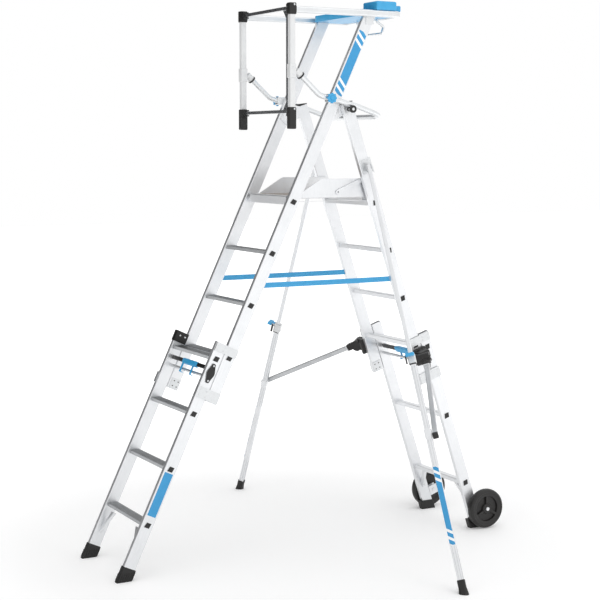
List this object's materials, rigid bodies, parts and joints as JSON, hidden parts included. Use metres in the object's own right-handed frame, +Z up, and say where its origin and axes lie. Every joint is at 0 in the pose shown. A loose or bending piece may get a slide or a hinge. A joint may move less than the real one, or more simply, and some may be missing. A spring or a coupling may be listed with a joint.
{
  "type": "mobile platform ladder",
  "caption": "Folding mobile platform ladder with telescoping legs, rear wheels, side stabilisers, guard cage with a swing gate, tool tray and knobs.",
  "frame": {"origin": "on the floor, under the middle of the overall length and width", "axes": "+Z up, +X from the climbing side back to the wheels, +Y to the right of a person facing the treads"},
  "size_m": [2.3132, 2.4818, 2.887],
  "materials": {
    "aluminium": "satin",
    "steel": "satin",
    "black_plastic": "matte",
    "blue_plastic": "satin",
    "release_plastic": "satin",
    "rubber": "matte",
    "wheel_rubber": "matte",
    "deck_ply": "satin",
    "strap": "woven"
  },
  "bodies": {
    "front_frame": {"front_stiles": "aluminium", "front_upper_treads": "aluminium", "front_upper_plugs": "black_plastic", "platform_pivot_rod": "aluminium", "front_section_guides": "steel", "frame_hinge_plates": "steel", "frame_hinge_caps": "black_plastic", "guard_top_rail": "aluminium", "guard_mid_rail": "aluminium", "guard_posts": "aluminium", "guard_blocks": "black_plastic", "mid_rail_tees": "steel", "tool_tray": "blue_plastic", "tray_hanger": "steel", "guard_rail_clamps": "aluminium", "spreader_straps": "strap"},
    "knob_near": {"guard_knob_near": "blue_plastic"},
    "knob_far": {"guard_knob_far": "blue_plastic"},
    "gate": {"gate_frame": "aluminium"},
    "platform": {"platform_deck": "deck_ply", "toe_boards": "aluminium", "platform_frame": "aluminium"},
    "platform_links": {"platform_links": "aluminium"},
    "rear_frame": {"rear_stiles": "aluminium", "rear_cross_bars": "aluminium", "rear_upper_plugs": "black_plastic", "rear_section_guides": "steel", "stabiliser_brackets": "aluminium", "brace_blocks": "black_plastic"},
    "front_leg": {"front_leg_stiles": "aluminium", "front_leg_treads": "aluminium", "front_leg_plugs": "black_plastic", "front_leg_guides": "steel", "lock_covers": "black_plastic", "front_feet": "rubber", "front_knee_braces": "aluminium"},
    "front_release": {"front_release": "release_plastic"},
    "rear_leg": {"rear_leg_stiles": "aluminium", "rear_leg_bars": "aluminium", "rear_leg_plugs": "black_plastic", "rear_leg_guides": "steel", "rear_feet": "rubber", "rear_knee_braces": "aluminium", "wheel_brackets": "aluminium"},
    "rear_release": {"rear_release": "release_plastic"},
    "wheel_near": {"wheel_near": "wheel_rubber"},
    "wheel_far": {"wheel_far": "wheel_rubber"},
    "strut_near": {"stabiliser_strut_near": "aluminium"},
    "outrigger_near": {"outrigger_tube_near": "aluminium", "stabiliser_clamp_near": "black_plastic", "outrigger_foot_near": "rubber"},
    "lever_near": {"clamp_lever_near": "blue_plastic"},
    "brace_near": {"stabiliser_brace_near": "aluminium"},
    "strut_far": {"stabiliser_strut_far": "aluminium"},
    "outrigger_far": {"outrigger_tube_far": "aluminium", "stabiliser_clamp_far": "black_plastic", "outrigger_foot_far": "rubber"},
    "lever_far": {"clamp_lever_far": "blue_plastic"},
    "brace_far": {"stabiliser_brace_far": "aluminium"}
  },
  "joints": [
    {"name": "rear_fold", "type": "hinge", "parent": "front_frame", "child": "rear_frame", "pos_m": [0.16338, 0, 2.32867], "axis": [0, 1, 0], "range_deg": [0, 43.9], "deforming": ["spreader_straps"]},
    {"name": "platform_tilt", "type": "hinge", "parent": "front_frame", "child": "platform", "pos_m": [-0.16526, 0, 1.8548], "axis": [0, -1, 0], "range_deg": [0, 64.65]},
    {"name": "platform_link_swing", "type": "hinge", "parent": "rear_frame", "child": "platform_links", "pos_m": [0.24904, 0, 1.956], "axis": [0, 1, 0], "range_deg": [0, 46.8]},
    {"name": "gate_swing", "type": "hinge", "parent": "front_frame", "child": "gate", "pos_m": [-0.18586, -0.243, 2.572], "axis": [0, 0, -1], "range_deg": [0, 52], "stiffness_Nm_per_rad": 0.6},
    {"name": "front_leg_slide", "type": "slide", "parent": "front_frame", "child": "front_leg", "axis": [0.4281, 0, 0.9037], "range_m": [0, 0.86]},
    {"name": "rear_leg_slide", "type": "slide", "parent": "rear_frame", "child": "rear_leg", "axis": [-0.3195, 0, 0.9476], "range_m": [0, 0.75]},
    {"name": "front_release_press", "type": "slide", "parent": "front_leg", "child": "front_release", "axis": [0.4281, 0, 0.9037], "range_m": [0, 0.007], "stiffness_N_per_m": 400},
    {"name": "rear_release_press", "type": "slide", "parent": "rear_leg", "child": "rear_release", "axis": [-0.3195, 0, 0.9476], "range_m": [0, 0.007], "stiffness_N_per_m": 400},
    {"name": "knob_turn_near", "type": "hinge", "parent": "front_frame", "child": "knob_near", "pos_m": [0.03514, -0.2923, 2.38304], "axis": [0, 1, 0], "range_deg": [0, 180]},
    {"name": "wheel_spin_near", "type": "hinge", "parent": "rear_leg", "child": "wheel_near", "pos_m": [1.04614, -0.285, 0.113], "axis": [0, 1, 0], "continuous": true},
    {"name": "stabiliser_swing_near", "type": "hinge", "parent": "rear_frame", "child": "strut_near", "pos_m": [0.27014, -0.285, 2.03], "axis": [0.7669, -0.5873, 0.2586], "range_deg": [0, 18]},
    {"name": "outrigger_slide_near", "type": "slide", "parent": "strut_near", "child": "outrigger_near", "axis": [0.0108, 0.4146, 0.9099], "range_m": [0, 0.36]},
    {"name": "clamp_lever_turn_near", "type": "hinge", "parent": "outrigger_near", "child": "lever_near", "pos_m": [0.24103, -0.73401, 1.09639], "axis": [0.7669, -0.5873, 0.2586], "range_deg": [0, 90]},
    {"name": "brace_fold_near", "type": "hinge", "parent": "rear_frame", "child": "brace_near", "pos_m": [0.59583, -0.34499, 1.005], "axis": [0.7669, -0.5873, 0.2586], "range_deg": [0, 45.25]},
    {"name": "knob_turn_far", "type": "hinge", "parent": "front_frame", "child": "knob_far", "pos_m": [0.03514, 0.2923, 2.38304], "axis": [0, 1, 0], "range_deg": [0, 180]},
    {"name": "wheel_spin_far", "type": "hinge", "parent": "rear_leg", "child": "wheel_far", "pos_m": [1.04614, 0.285, 0.113], "axis": [0, 1, 0], "continuous": true},
    {"name": "stabiliser_swing_far", "type": "hinge", "parent": "rear_frame", "child": "strut_far", "pos_m": [0.27014, 0.285, 2.03], "axis": [-0.7669, -0.5873, -0.2586], "range_deg": [0, 18]},
    {"name": "outrigger_slide_far", "type": "slide", "parent": "strut_far", "child": "outrigger_far", "axis": [0.0108, -0.4146, 0.9099], "range_m": [0, 0.36]},
    {"name": "clamp_lever_turn_far", "type": "hinge", "parent": "outrigger_far", "child": "lever_far", "pos_m": [0.24103, 0.73401, 1.09639], "axis": [-0.7669, -0.5873, -0.2586], "range_deg": [0, 90]},
    {"name": "brace_fold_far", "type": "hinge", "parent": "rear_frame", "child": "brace_far", "pos_m": [0.59583, 0.34499, 1.005], "axis": [-0.7669, -0.5873, -0.2586], "range_deg": [0, 45.25]}
  ],
  "couplings": [
    {"joint": "platform_tilt", "follows": "rear_fold", "ratio": 1.47},
    {"joint": "platform_link_swing", "follows": "rear_fold", "ratio": 1.06},
    {"joint": "brace_fold_near", "follows": "stabiliser_swing_near", "ratio": 2.4862},
    {"joint": "brace_fold_far", "follows": "stabiliser_swing_far", "ratio": 2.4862}
  ]
}
